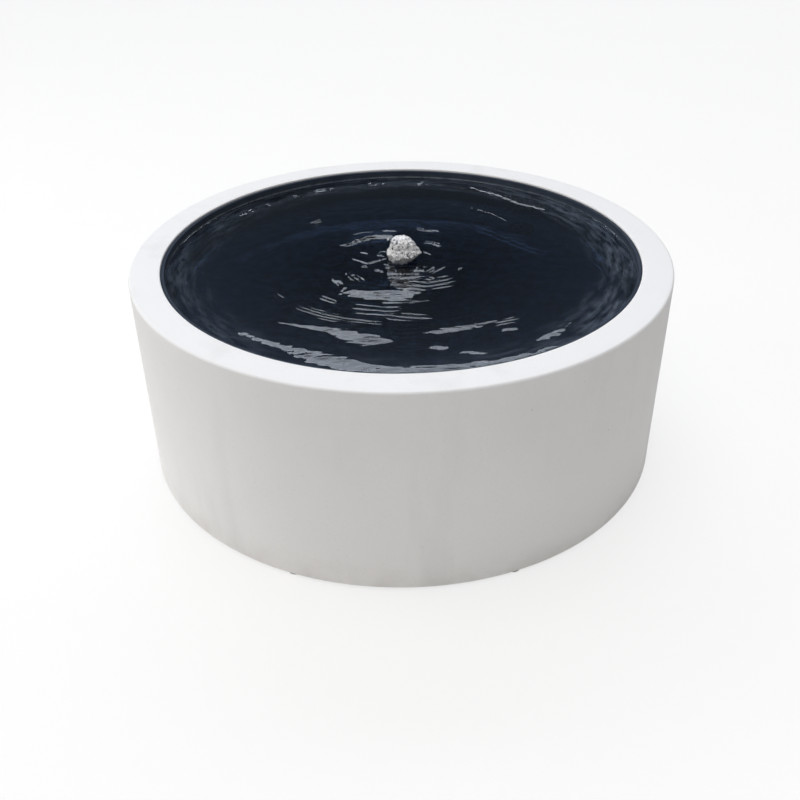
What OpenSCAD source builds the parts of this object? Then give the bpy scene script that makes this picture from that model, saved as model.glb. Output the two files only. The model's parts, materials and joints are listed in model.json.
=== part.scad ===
// Round water table fountain: a pale cast shell, a dark basin hung inside it, and a small
// submersible pump in a sump that feeds a bubbling nozzle at the centre.
// Millimetres. The origin is on the ground under the middle, +Z is up and -Y is the front.

/* [Shell] */
// Outside diameter of the table
table_d = 900; // [760:10:1200]
// Height of the rim above the ground
table_h = 350; // [330:5:460]
// Width of the flat rim
rim_w = 50; // [44:1:70]
// Thickness of the rim slab
rim_t = 25; // [20:1:35]
// Thickness of the skirt wall
skirt_t = 18; // [12:1:22]
// Radial width of the thickened foot of the skirt
foot_w = 30; // [26:1:40]
// Height of the thickened foot
foot_h = 25; // [20:1:40]
// Radius of the outer top arris
outer_arris_r = 4; // [1:0.5:8]
// Radius of the inner top arris
inner_arris_r = 2; // [1:0.5:5]
// Chamfer along the bottom edges of the skirt
foot_chamfer = 2.5; // [1:0.5:5]
// Width of the cable notch at the back
notch_w = 32; // [20:1:60]
// Height of the cable notch above the foot's underside
notch_h = 20; // [12:1:22]
// Thickness of the rubber pads under the table
pad_t = 3; // [2:0.5:8]
// Diameter of the pads under the skirt
shell_pad_d = 24; // [16:1:26]
// Number of pads under the skirt
shell_pad_count = 8; // [4:2:16]

/* [Basin] */
// Depth from the rim's top to the basin's floor
basin_depth = 130; // [120:1:150]
// Thickness of the basin's wall
basin_t = 5; // [4:0.5:8]
// Thickness of the basin's floor
floor_t = 8; // [6:0.5:12]
// Gap between the basin's wall and the rim, filled with sealant
seal_gap = 1.5; // [1:0.25:4]
// How far the basin's lip stays below the rim's top
lip_drop = 3; // [2:0.5:8]
// Depth of the sealant bead below the basin's lip
seal_depth = 11; // [6:1:18]
// Fillet between the basin's wall and floor
cove_r = 18; // [6:1:30]
// Width of the flange that carries the basin under the rim
flange_w = 25; // [21:1:27]
// Thickness of the flange
flange_t = 8; // [5:0.5:12]
// Number of screws that hold the flange
screw_count = 8; // [6:1:16]
// Thread diameter of the flange screws
screw_d = 6; // [5:0.5:8]
// Length of a flange screw under its head
screw_l = 20; // [16:1:22]
// Height of a flange screw's head
screw_head_h = 4; // [3:0.5:6]
// Outside diameter of the threaded inserts
insert_d = 9; // [9:0.5:12]
// Length of the threaded inserts
insert_l = 15; // [10:1:17]

/* [Legs] */
// Number of legs under the basin
leg_count = 6; // [3:1:7]
// Radius of the circle that the legs stand on
leg_ring_r = 300; // [230:5:320]
// Diameter of a leg's post
leg_d = 40; // [30:1:50]
// Diameter of a leg's foot plate
leg_foot_d = 60; // [54:1:80]
// Diameter of a leg's head plate
leg_head_d = 70; // [54:1:90]
// Thickness of a leg's end plates
leg_plate_t = 4; // [3:0.5:8]

/* [Sump] */
// Depth of the sump below the basin's floor
sump_depth = 108; // [100:1:130]
// Inside diameter of the sump
sump_d = 190; // [180:2:230]
// Thickness of the sump's wall
sump_t = 5; // [4:0.5:8]
// Width of the ledge that carries the cover
ledge_w = 17; // [12:1:24]
// Depth of wall left under the ledge
ledge_t = 10; // [6:1:16]
// Thickness of the cover
cover_t = 4; // [3:0.5:8]
// Gap round the edge of the cover
cover_gap = 2; // [1:0.5:3]
// Diameter of the hole that the riser passes through
cover_hole_d = 44; // [42:1:50]
// Diameter of the cover's water holes
water_hole_d = 6; // [4:0.5:7]
// Height of a lifting knob above the cover
knob_h = 12; // [8:1:16]
// Diameter of a lifting knob
knob_d = 16; // [10:1:18]

/* [Drain] */
// Distance from the drain's axis to the basin's wall
drain_wall_gap = 64; // [48:1:80]
// Bore of the drain outlet
drain_bore_d = 24; // [16:0.5:25]
// Outside diameter of the drain's tube
drain_tube_d = 33; // [32:0.5:36]
// Length of the drain's tube below the basin's floor
drain_l = 50; // [35:1:70]
// Diameter of the drain's flange
drain_flange_d = 52; // [44:1:60]
// Thickness of the drain's flange
drain_flange_t = 3; // [2:0.5:6]
// Diameter of the plug's seat
plug_d = 28; // [27:0.5:29]
// Depth of the plug's seat
plug_depth = 15; // [12:1:18]
// Diameter of the plug's head
plug_head_d = 36; // [34:1:42]
// Thickness of the drain gasket
gasket_t = 2.5; // [1.5:0.5:4]
// Height of the drain nut
drain_nut_h = 10; // [7:1:16]

/* [Cable gland] */
// Distance of the gland from the middle
gland_x = 70; // [68:1:74]
// Diameter of the gland's thread
gland_d = 16; // [14:0.5:18]
// Diameter of the cable that the seal takes
gland_bore_d = 7.2; // [5:0.2:9]
// Length of the gland's thread below the sump's floor
gland_tail = 20; // [14:1:30]
// Height of the gland's nut
gland_nut_h = 7; // [4:0.5:9]

/* [Pump] */
// Radius of the motor housing
motor_r = 31; // [29:0.5:34]
// Length of the motor housing
motor_l = 60; // [58:1:66]
// Wall of the motor housing
motor_wall = 3; // [2:0.5:3]
// Height of the suction feet
suction_foot_h = 6; // [4:0.5:10]
// Diameter of the rotor magnet
rotor_d = 20; // [16:0.5:20]
// Length of the rotor magnet
rotor_l = 34; // [26:1:34]
// Gap between the rotor and its cup
rotor_gap = 1; // [0.5:0.1:1.2]
// Diameter of the ceramic shaft
shaft_d = 3; // [2:0.25:4]
// Outside diameter of the volute chamber
volute_d = 48; // [46:1:52]
// Diameter of the impeller
impeller_d = 34; // [26:1:38]
// Number of impeller blades
blade_count = 6; // [4:1:8]
// Outside diameter of the pump's outlet
outlet_d = 18; // [15:0.5:18]
// Bore of the pump's outlet
outlet_bore_d = 13; // [8:0.5:13]
// Outside diameter of the intake cage
cage_d = 66; // [60:1:66]
// Length of the intake cage
cage_l = 33.5; // [28:0.5:38]
// Width of the cage's intake slots
slot_w = 3; // [2:0.5:5]
// Number of intake slots round the cage
slot_count = 16; // [8:1:20]
// Diameter of the flow dial
dial_d = 48; // [44:1:56]

/* [Riser and nozzle] */
// How far the fixed riser ends below the rim's top
riser_drop = 60; // [54:1:70]
// Wall of the fixed riser tube
riser_wall = 2.5; // [2:0.25:3]
// Wall of the sliding extension
extension_wall = 2; // [1.5:0.25:2.5]
// Overlap of the extension inside the fixed riser
extension_overlap = 60; // [50:1:70]
// How far the nozzle's sleeve stands above the rim's top
nozzle_rise = 7; // [2:1:12]
// Outside diameter of the nozzle's sleeve
sleeve_d = 35; // [33:0.5:36]
// Wall of the nozzle's sleeve
sleeve_wall = 2.45; // [1.5:0.05:2.5]
// Length of the nozzle's sleeve
sleeve_l = 41; // [38:1:42]
// Diameter of the jet in the nozzle
jet_d = 10; // [6:0.5:14]

/* [Hidden] */

$fn = 96;
// Overrun of a cut past the face that it opens
eps = 1;
// Running clearance of sliding and turning fits, on the radius
run_fit = 0.05;
// Clearance of seated pieces, on the radius
seat_fit = 0.1;
// Chamfer of small turned edges
edge_break = 1;

// Radii of the shell and the basin
table_r = table_d / 2;
opening_r = table_r - rim_w;
skirt_in_r = table_r - skirt_t;
foot_in_r = table_r - foot_w;
basin_out_r = opening_r - seal_gap;
basin_r = basin_out_r - basin_t;
flange_r = basin_out_r + flange_w;
flange_screw_r = basin_out_r + flange_w / 2;
// Slope under the rim, which ends just outside the basin's flange
knee = skirt_in_r - flange_r - 2;

// Heights above the ground
rim_under_z = table_h - rim_t;
lip_z = table_h - lip_drop;
flange_z = rim_under_z - flange_t;
floor_z = table_h - basin_depth;
floor_under_z = floor_z - floor_t;
sump_z = floor_z - sump_depth;
sump_under_z = sump_z - floor_t;
ledge_z = floor_z - cover_t;
ledge_under_z = ledge_z - ledge_t;

// Sump and cover
sump_r = sump_d / 2;
ledge_r = sump_r + ledge_w;
ledge_slope = 6;
cover_r = ledge_r - cover_gap;
water_ring_first = cover_hole_d / 2 + 12;
water_ring_step = 13;
water_rings = 4;
water_hole_pitch = 20;
knob_inset = 4;
knob_ring_r = cover_r - knob_d / 2 - knob_inset;
knob_stem_d = 6;
knob_neck_d = 9;
knob_edge = 3;

// Flange screws
screw_head_d = screw_d * 1.8;
screw_slack = 0.6;
insert_slack = 0.5;

// Drain, on the diagonal
drain_xy = (basin_r - drain_wall_gap) / sqrt(2);
plug_gap = 0.4;
plug_head_t = 4;
plug_grip_d = 10;
plug_grip_h = 10;
plug_waist_r = 3.5;
oring_t = 2.4;
oring_groove = 1.8;
nut_overhang = 4;
drain_seat_z = floor_z + drain_flange_t;
drain_end_z = floor_under_z - drain_l;

// Gland
gland_hex_r = gland_d / 2 + 5;
gland_base_t = 4;
gland_neck_h = 11;
gland_neck_r = gland_d / 2 + 1;
gland_wall = 2;
gland_cap_t = 3;
cap_slack = 0.6;

// Pump: the axle lies along Y, and the outlet stands on the table's axis
axle_z = sump_z + suction_foot_h + motor_r + 1;
motor_y = 16;
motor_in_r = motor_r - motor_wall;
cup_r = rotor_d / 2 + rotor_gap;
cup_wall = 1.5;
rotor_y = motor_y + 5.8;
bush_y = rotor_y + rotor_l + 0.7;
rear_bush_l = 3.4;
cup_end_y = bush_y + rear_bush_l + seat_fit;
core_y = motor_y + 12;
core_l = 24;
core_half = motor_in_r / sqrt(2) - 0.8;
coil_l = 7;
coil_r = motor_in_r - 4;
coil_gap = 0.5;
motor_base_half = 24;
motor_cap_t = 3;
suction_foot_x = 17;
suction_foot_inset = 10;
suction_pin_r = 2.95;
suction_pin_h = 4.5;
suction_pin_slack = 0.5;
// Half section of a suction foot below its neck, [radius, height]
suction_cup = [[0, 1.5], [6, 1.5], [7.5, 0], [8, 0], [8, 1]];
suction_neck_r = 5;
volute_r = volute_d / 2;
volute_wall = 3;
volute_y = -12;
volute_flange_t = 4;
collar_l = 4;
eye_r = 11;
spider_r = 5.5;
spider_w = 2.4;
spider_inset = 0.4;
front_bush_r = 3;
front_bush_l = 4;
seal_ring_r = volute_r - 0.9;
seal_w = 2.2;
seal_t = 1.5;
blade_t = 1.6;
hub_r = 5;
blade_y = volute_y + volute_wall + 6;
impeller_disc_y = motor_y - 6;
impeller_disc_t = 2;
outlet_r = outlet_d / 2;
shoulder_z = axle_z + motor_r + 3;
outlet_top_z = shoulder_z + 18;

// Intake
cage_r = cage_d / 2;
cage_t = 2.5;
cage_back_y = volute_y - 0.5;
cage_front_y = cage_back_y - cage_l;
sponge_hole_r = 16;
dial_gap = 0.3;
dial_t = 2.5;
dial_pin_r = 4;
dial_head_r = 5.5;
dial_head_t = 2;
port_r = 5;
port_ring_r = 17;
port_count = 4;
dial_grip_w = 4;
dial_grip_h = 4;

// Riser and nozzle
riser_bore_r = outlet_r + run_fit;
riser_r = riser_bore_r + riser_wall;
riser_base_z = shoulder_z + 0.2;
riser_top_z = table_h - riser_drop;
riser_clamp_h = 8;
riser_clamp_t = 1.5;
collar_r = riser_r + 3;
collar_skirt = 12;
collar_lip = 6;
flute_count = 12;
extension_r = riser_bore_r - run_fit - 0.02;
extension_base_z = riser_top_z - extension_overlap;
nozzle_top_z = table_h + nozzle_rise;
extension_top_z = nozzle_top_z - 27;
nozzle_base_z = extension_top_z - 8;
sleeve_in_r = sleeve_d / 2 - sleeve_wall;
guide_r = sleeve_in_r - run_fit;
guide_z = extension_top_z + 4;
guide_top_z = nozzle_top_z - 11;
crown_z = nozzle_top_z - 7;
air_hole_d = 7;
air_hole_count = 4;
air_groove_r = 1.5;
air_groove_count = 6;

// Points of an arc round centre c, from angle a0 to angle a1
function arc(c, r, a0, a1, n = 8) =
    [for (i = [0 : n]) c + r * [cos(a0 + (a1 - a0) * i / n), sin(a0 + (a1 - a0) * i / n)]];

// Copies on a circle of radius r, the first at angle a0
module ring_of(count, r, a0 = 0) {
    for (i = [0 : count - 1])
        rotate([0, 0, a0 + 360 * i / count]) translate([r, 0, 0]) children();
}

// A body turned about the vertical from points [radius, height]
module turned(points) {
    rotate_extrude() polygon(points);
}

// A body turned about the pump's axle from points [radius, y]
module turned_on_axle(points) {
    translate([0, 0, axle_z]) rotate([-90, 0, 0]) rotate_extrude() polygon(points);
}

// A rod on the pump's axle from y0 to y1
module axle_rod(r, y0, y1) {
    translate([0, y0, axle_z]) rotate([-90, 0, 0]) cylinder(r = r, h = y1 - y0);
}

// A ring of rectangular section about the vertical
module ring(r_in, r_out, z0, z1) {
    turned([[r_in, z0], [r_out, z0], [r_out, z1], [r_in, z1]]);
}

// Cast shell: flat rim, straight skirt and thickened foot, open underneath
module outer_shell() {
    foot_z = pad_t + foot_h;
    color("gainsboro") difference() {
        turned(concat(
            [[table_r - foot_chamfer, pad_t], [table_r, pad_t + foot_chamfer]],
            arc([table_r - outer_arris_r, table_h - outer_arris_r], outer_arris_r, 0, 90),
            arc([opening_r + inner_arris_r, table_h - inner_arris_r], inner_arris_r, 90, 180),
            [
                [opening_r, rim_under_z],
                [skirt_in_r - knee, rim_under_z],
                [skirt_in_r, rim_under_z - knee],
                [skirt_in_r, foot_z + foot_w - skirt_t],
                [foot_in_r, foot_z],
                [foot_in_r, pad_t + foot_chamfer],
                [foot_in_r + foot_chamfer, pad_t]
            ]
        ));
        translate([-notch_w / 2, foot_in_r - foot_w, pad_t - eps])
            cube([notch_w, 3 * foot_w, notch_h + eps]);
        ring_of(screw_count, flange_screw_r, 180 / screw_count)
            translate([0, 0, rim_under_z - eps])
                cylinder(d = insert_d + 2 * seat_fit, h = insert_l + insert_slack + eps);
    }
}

// Dark basin: wall, carrying flange, floor, and ledge for the cover round the sump's mouth
module inner_basin() {
    color("darkslategray") difference() {
        turned(concat(
            [[basin_out_r, lip_z], [basin_r, lip_z]],
            arc([basin_r - cove_r, floor_z + cove_r], cove_r, 0, -90),
            [
                [ledge_r, floor_z],
                [ledge_r, ledge_z],
                [sump_r, ledge_z],
                [sump_r, ledge_under_z],
                [ledge_r + basin_t, ledge_under_z],
                [ledge_r + basin_t + ledge_slope, floor_under_z],
                [basin_out_r - cove_r, floor_under_z],
                [basin_out_r, floor_under_z + cove_r],
                [basin_out_r, flange_z],
                [flange_r, flange_z],
                [flange_r, rim_under_z],
                [basin_out_r, rim_under_z]
            ]
        ));
        ring_of(screw_count, flange_screw_r, 180 / screw_count)
            translate([0, 0, flange_z - eps])
                cylinder(d = screw_d + screw_slack, h = flange_t + 2 * eps);
        translate([drain_xy, drain_xy, floor_under_z - eps])
            cylinder(d = drain_tube_d + 2 * seat_fit, h = floor_t + 2 * eps);
    }
}

// Pipe that makes the sump's wall, bonded under the basin's ledge
module sump_wall() {
    color("darkslategray") ring(sump_r, sump_r + sump_t, sump_under_z, ledge_under_z);
}

// Round plate that closes the sump, with a hole for the cable gland
module sump_base() {
    color("darkslategray") difference() {
        translate([0, 0, sump_under_z]) cylinder(r = sump_r - seat_fit, h = floor_t);
        translate([-gland_x, 0, sump_under_z - eps])
            cylinder(d = gland_d + 2 * seat_fit, h = floor_t + 2 * eps);
    }
}

// Bead of sealant between the basin's wall and the rim
module edge_sealant() {
    color("dimgray")
        ring(basin_out_r + seat_fit, opening_r - seat_fit, lip_z - seal_depth, lip_z - 0.5);
}

// Screws that hold the basin's flange up to the rim
module flange_screws() {
    color("silver") ring_of(screw_count, flange_screw_r, 180 / screw_count) union() {
        translate([0, 0, flange_z - screw_head_h]) cylinder(d = screw_head_d, h = screw_head_h);
        translate([0, 0, flange_z]) cylinder(d = screw_d, h = screw_l);
    }
}

// Threaded inserts cast into the rim's underside
module rim_inserts() {
    color("goldenrod") ring_of(screw_count, flange_screw_r, 180 / screw_count)
        ring(screw_d / 2 + run_fit, insert_d / 2, rim_under_z, rim_under_z + insert_l);
}

// Rubber pads between the skirt's foot and the ground
module shell_pads() {
    color("black") ring_of(shell_pad_count, table_r - foot_w / 2, 180 / shell_pad_count)
        cylinder(d = shell_pad_d, h = pad_t);
}

// Posts with end plates, which carry the basin's floor
module basin_legs() {
    leg_r = leg_d / 2;
    color("lightgray") ring_of(leg_count, leg_ring_r, 180 / leg_count) turned([
        [0, pad_t],
        [leg_foot_d / 2, pad_t],
        [leg_foot_d / 2, pad_t + leg_plate_t],
        [leg_r, pad_t + leg_plate_t],
        [leg_r, floor_under_z - leg_plate_t],
        [leg_head_d / 2, floor_under_z - leg_plate_t],
        [leg_head_d / 2, floor_under_z],
        [0, floor_under_z]
    ]);
}

// Rubber pads under the legs
module leg_pads() {
    color("black") ring_of(leg_count, leg_ring_r, 180 / leg_count)
        cylinder(d = leg_foot_d - 4, h = pad_t);
}

// Perforated cover over the sump
module sump_cover() {
    color("dimgray") difference() {
        ring(cover_hole_d / 2, cover_r, ledge_z, floor_z);
        for (k = [0 : water_rings - 1]) {
            ring_r = water_ring_first + k * water_ring_step;
            ring_of(floor(2 * PI * ring_r / water_hole_pitch), ring_r)
                translate([0, 0, ledge_z - eps])
                    cylinder(d = water_hole_d, h = cover_t + 2 * eps, $fn = 32);
        }
        ring_of(2, knob_ring_r)
            translate([0, 0, ledge_z - eps])
                cylinder(d = knob_stem_d, h = cover_t + 2 * eps);
    }
}

// Two knobs for lifting the cover out
module cover_knobs() {
    stem_r = knob_stem_d / 2 - seat_fit;
    color("dimgray") ring_of(2, knob_ring_r) turned([
        [0, ledge_z + edge_break],
        [stem_r, ledge_z + edge_break],
        [stem_r, floor_z],
        [knob_neck_d / 2, floor_z],
        [knob_neck_d / 2, floor_z + knob_h / 2],
        [knob_d / 2, floor_z + knob_h - knob_edge],
        [knob_d / 2, floor_z + knob_h - edge_break],
        [knob_d / 2 - edge_break, floor_z + knob_h],
        [0, floor_z + knob_h]
    ]);
}

// Drain fitting through the basin's floor, with a seat for the plug at its top
module drain_fitting() {
    color("silver") translate([drain_xy, drain_xy, 0]) turned([
        [drain_bore_d / 2, drain_end_z],
        [drain_tube_d / 2 - edge_break, drain_end_z],
        [drain_tube_d / 2, drain_end_z + edge_break],
        [drain_tube_d / 2, floor_z],
        [drain_flange_d / 2, floor_z],
        [drain_flange_d / 2, drain_seat_z - edge_break],
        [drain_flange_d / 2 - edge_break, drain_seat_z],
        [plug_d / 2, drain_seat_z],
        [plug_d / 2, drain_seat_z - plug_depth],
        [drain_bore_d / 2, drain_seat_z - plug_depth]
    ]);
}

// Gasket under the basin's floor
module drain_gasket() {
    color("black") translate([drain_xy, drain_xy, 0])
        ring(drain_tube_d / 2 + seat_fit, drain_flange_d / 2, floor_under_z - gasket_t, floor_under_z);
}

// Six-sided nut that clamps the drain fitting
module drain_nut() {
    nut_top_z = floor_under_z - gasket_t;
    color("silver") translate([drain_xy, drain_xy, 0]) difference() {
        translate([0, 0, nut_top_z - drain_nut_h])
            cylinder(d = drain_flange_d + nut_overhang, h = drain_nut_h, $fn = 6);
        translate([0, 0, nut_top_z - drain_nut_h - eps])
            cylinder(d = drain_tube_d + 2 * run_fit, h = drain_nut_h + 2 * eps);
    }
}

// Plug that lifts out of the drain
module drain_plug() {
    body_r = plug_d / 2 - plug_gap;
    groove_r = body_r - oring_groove;
    low_z = drain_seat_z - plug_depth + edge_break;
    mid_z = drain_seat_z - plug_depth / 2;
    head_z = drain_seat_z + plug_head_t;
    color("dimgray") translate([drain_xy, drain_xy, 0]) turned([
        [0, low_z],
        [body_r - edge_break, low_z],
        [body_r, low_z + edge_break],
        [body_r, mid_z - oring_t / 2],
        [groove_r, mid_z - oring_t / 2],
        [groove_r, mid_z + oring_t / 2],
        [body_r, mid_z + oring_t / 2],
        [body_r, drain_seat_z],
        [plug_head_d / 2, drain_seat_z],
        [plug_head_d / 2, head_z - edge_break],
        [plug_head_d / 2 - edge_break, head_z],
        [plug_waist_r, head_z],
        [plug_waist_r, head_z + plug_grip_h / 2],
        [plug_grip_d / 2, head_z + plug_grip_h - 2 * edge_break],
        [plug_grip_d / 2 - edge_break, head_z + plug_grip_h],
        [0, head_z + plug_grip_h]
    ]);
}

// Sealing ring in the plug's groove
module drain_oring() {
    ring_in = plug_d / 2 - plug_gap - oring_groove + run_fit;
    mid_z = drain_seat_z - plug_depth / 2;
    color("black") translate([drain_xy, drain_xy, 0])
        ring(ring_in, plug_d / 2 - run_fit, mid_z - oring_t / 2 + run_fit, mid_z + oring_t / 2 - run_fit);
}

// Cable gland: threaded body through the sump's floor
module gland_body() {
    base_top_z = sump_z + gland_base_t;
    color("darkgray") translate([-gland_x, 0, 0]) difference() {
        union() {
            translate([0, 0, sump_z]) cylinder(r = gland_hex_r, h = gland_base_t, $fn = 6);
            translate([0, 0, sump_under_z - gland_tail])
                cylinder(d = gland_d, h = floor_t + gland_tail + eps);
            translate([0, 0, base_top_z - eps]) cylinder(r = gland_neck_r, h = gland_neck_h + eps);
        }
        translate([0, 0, sump_under_z - gland_tail - eps])
            cylinder(r = gland_d / 2 - gland_wall, h = floor_t + gland_tail + 2 * gland_neck_h);
    }
}

// Lock nut under the sump's floor
module gland_nut() {
    color("darkgray") translate([-gland_x, 0, sump_under_z - gland_nut_h]) difference() {
        cylinder(r = gland_hex_r, h = gland_nut_h, $fn = 6);
        translate([0, 0, -eps]) cylinder(d = gland_d + 2 * run_fit, h = gland_nut_h + 2 * eps);
    }
}

// Rubber sleeve that grips the cable
module gland_seal() {
    color("black") translate([-gland_x, 0, 0])
        ring(
            gland_bore_d / 2, gland_d / 2 - gland_wall - run_fit,
            sump_under_z, sump_z + gland_base_t + gland_neck_h
        );
}

// Domed cap that squeezes the sleeve
module gland_cap() {
    cap_in_r = gland_neck_r + run_fit;
    low_z = sump_z + gland_base_t + edge_break;
    seat_z = sump_z + gland_base_t + gland_neck_h + seat_fit;
    color("darkgray") translate([-gland_x, 0, 0]) turned([
        [cap_in_r, low_z],
        [cap_in_r + gland_cap_t, low_z],
        [cap_in_r + gland_cap_t, seat_z - edge_break],
        [cap_in_r, seat_z + gland_cap_t],
        [gland_bore_d / 2 + cap_slack, seat_z + gland_cap_t],
        [gland_bore_d / 2 + cap_slack, seat_z],
        [cap_in_r, seat_z]
    ]);
}

// Motor housing with its base and the rotor's cup
module pump_housing() {
    base_z = sump_z + suction_foot_h;
    color("dimgray") difference() {
        union() {
            difference() {
                union() {
                    axle_rod(motor_r, motor_y, motor_y + motor_l);
                    translate([-motor_base_half, motor_y, base_z])
                        cube([2 * motor_base_half, motor_l, motor_r * 0.6]);
                }
                axle_rod(motor_in_r, motor_y + motor_wall, motor_y + motor_l + eps);
            }
            axle_rod(cup_r + cup_wall, motor_y + motor_wall / 2, cup_end_y + cup_wall);
        }
        axle_rod(cup_r, motor_y - eps, cup_end_y);
        for (x = [-suction_foot_x, suction_foot_x])
            for (y = [motor_y + suction_foot_inset, motor_y + motor_l - suction_foot_inset])
                translate([x, y, base_z - eps])
                    cylinder(r = suction_pin_r + run_fit, h = suction_pin_h + suction_pin_slack + eps);
    }
}

// Rear cap of the motor housing
module motor_cap() {
    color("dimgray")
        axle_rod(motor_in_r - seat_fit, motor_y + motor_l - motor_cap_t, motor_y + motor_l);
}

// Laminated stator round the rotor's cup
module stator_core() {
    color("gray") difference() {
        translate([-core_half, core_y, axle_z - core_half])
            cube([2 * core_half, core_l, 2 * core_half]);
        axle_rod(cup_r + cup_wall + seat_fit, core_y - eps, core_y + core_l + eps);
    }
}

// End windings of the stator
module stator_coils() {
    color("peru") for (y = [core_y - coil_gap - coil_l, core_y + core_l + coil_gap])
        turned_on_axle([
            [cup_r + cup_wall + 0.5, y],
            [coil_r, y],
            [coil_r, y + coil_l],
            [cup_r + cup_wall + 0.5, y + coil_l]
        ]);
}

// Rubber suction feet under the motor housing
module suction_feet() {
    color("black") for (x = [-suction_foot_x, suction_foot_x])
        for (y = [motor_y + suction_foot_inset, motor_y + motor_l - suction_foot_inset])
            translate([x, y, sump_z]) turned(concat(suction_cup, [
                [suction_neck_r, suction_foot_h],
                [suction_pin_r, suction_foot_h],
                [suction_pin_r, suction_foot_h + suction_pin_h],
                [0, suction_foot_h + suction_pin_h]
            ]));
}

// Magnet that turns with the impeller
module rotor_magnet() {
    color("black") turned_on_axle([
        [shaft_d / 2 + run_fit, rotor_y],
        [rotor_d / 2, rotor_y],
        [rotor_d / 2, rotor_y + rotor_l],
        [shaft_d / 2 + run_fit, rotor_y + rotor_l]
    ]);
}

// Impeller: hub, back disc and straight blades
module impeller() {
    impeller_r = impeller_d / 2;
    color("steelblue") difference() {
        union() {
            axle_rod(hub_r, blade_y, rotor_y);
            axle_rod(impeller_r, impeller_disc_y, impeller_disc_y + impeller_disc_t);
            for (i = [0 : blade_count - 1])
                translate([0, 0, axle_z]) rotate([0, 360 * i / blade_count, 0])
                    translate([hub_r - 1, blade_y, -blade_t / 2])
                        cube([impeller_r - hub_r, impeller_disc_y - blade_y + 1, blade_t]);
        }
        axle_rod(shaft_d / 2 + run_fit, blade_y - eps, rotor_y + eps);
    }
}

// Fixed ceramic shaft
module rotor_shaft() {
    color("white") axle_rod(shaft_d / 2, volute_y + 1, bush_y + rear_bush_l - 1);
}

// Rubber bush at the closed end of the cup
module rear_bush() {
    color("black") turned_on_axle([
        [shaft_d / 2, bush_y],
        [cup_r - seat_fit, bush_y],
        [cup_r - seat_fit, bush_y + rear_bush_l],
        [shaft_d / 2, bush_y + rear_bush_l]
    ]);
}

// Rubber bush in the spider of the chamber cover
module front_bush() {
    color("black") turned_on_axle([
        [shaft_d / 2, volute_y],
        [front_bush_r, volute_y],
        [front_bush_r, volute_y + front_bush_l],
        [shaft_d / 2, volute_y + front_bush_l]
    ]);
}

// Volute cover with intake eye, bush spider, cage collar and upright outlet
module chamber_cover() {
    inner_r = volute_r - volute_wall;
    color("dimgray") difference() {
        union() {
            difference() {
                union() {
                    axle_rod(volute_r, volute_y - collar_l, motor_y);
                    axle_rod(motor_r, motor_y - volute_flange_t, motor_y);
                    translate([0, 0, axle_z]) cylinder(r = outlet_r, h = outlet_top_z - axle_z);
                    translate([0, 0, axle_z])
                        cylinder(r = riser_r, h = shoulder_z - axle_z);
                }
                axle_rod(inner_r, volute_y + volute_wall, motor_y + eps);
                axle_rod(volute_r - 2, volute_y - collar_l - eps, volute_y);
                axle_rod(eye_r, volute_y - eps, volute_y + volute_wall + eps);
                translate([0, 0, axle_z]) cylinder(d = outlet_bore_d, h = outlet_top_z);
            }
            axle_rod(spider_r, volute_y, volute_y + volute_wall);
            for (a = [90, 210, 330])
                translate([0, volute_y + spider_inset, axle_z]) rotate([0, a, 0])
                    translate([front_bush_r + 1, 0, -spider_w / 2])
                        cube([eye_r - front_bush_r, volute_wall - 2 * spider_inset, spider_w]);
        }
        axle_rod(front_bush_r + seat_fit, volute_y - eps, volute_y + volute_wall + eps);
        turned_on_axle([
            [seal_ring_r - seat_fit, motor_y - seal_t - seat_fit],
            [seal_ring_r + seal_w + seat_fit, motor_y - seal_t - seat_fit],
            [seal_ring_r + seal_w + seat_fit, motor_y + eps],
            [seal_ring_r - seat_fit, motor_y + eps]
        ]);
    }
}

// Seal between the chamber cover and the motor housing
module chamber_seal() {
    color("black") turned_on_axle([
        [seal_ring_r, motor_y - seal_t],
        [seal_ring_r + seal_w, motor_y - seal_t],
        [seal_ring_r + seal_w, motor_y],
        [seal_ring_r, motor_y]
    ]);
}

// Slotted cage that snaps over the collar of the chamber cover
module intake_cage() {
    color("dimgray") difference() {
        turned_on_axle([
            [dial_pin_r + run_fit, cage_front_y],
            [cage_r, cage_front_y],
            [cage_r, cage_back_y],
            [volute_r + run_fit, cage_back_y],
            [volute_r + run_fit, cage_back_y - cage_t],
            [cage_r - cage_t, cage_back_y - cage_t],
            [cage_r - cage_t, cage_front_y + cage_t],
            [dial_pin_r + run_fit, cage_front_y + cage_t]
        ]);
        for (i = [0 : slot_count - 1])
            translate([0, 0, axle_z]) rotate([0, 360 * (i + 0.5) / slot_count, 0])
                translate([cage_r - 2 * cage_t, cage_front_y + 2 * cage_t, -slot_w / 2])
                    cube([4 * cage_t, cage_l - 4 * cage_t, slot_w]);
        ports(port_r, cage_front_y - eps, cage_t + 2 * eps);
    }
}

// Round ports on the pump's axle, from y0 over length l
module ports(r, y0, l) {
    for (i = [0 : port_count - 1])
        translate([0, 0, axle_z]) rotate([0, 360 * i / port_count, 0])
            translate([port_ring_r, y0, 0]) rotate([-90, 0, 0]) cylinder(r = r, h = l);
}

// Sponge ring inside the cage
module filter_sponge() {
    low_y = cage_front_y + cage_t + 0.5;
    high_y = volute_y - collar_l - 0.5;
    color("darkolivegreen") turned_on_axle([
        [sponge_hole_r, low_y],
        [cage_r - cage_t - 0.5, low_y],
        [cage_r - cage_t - 0.5, high_y],
        [sponge_hole_r, high_y]
    ]);
}

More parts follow.
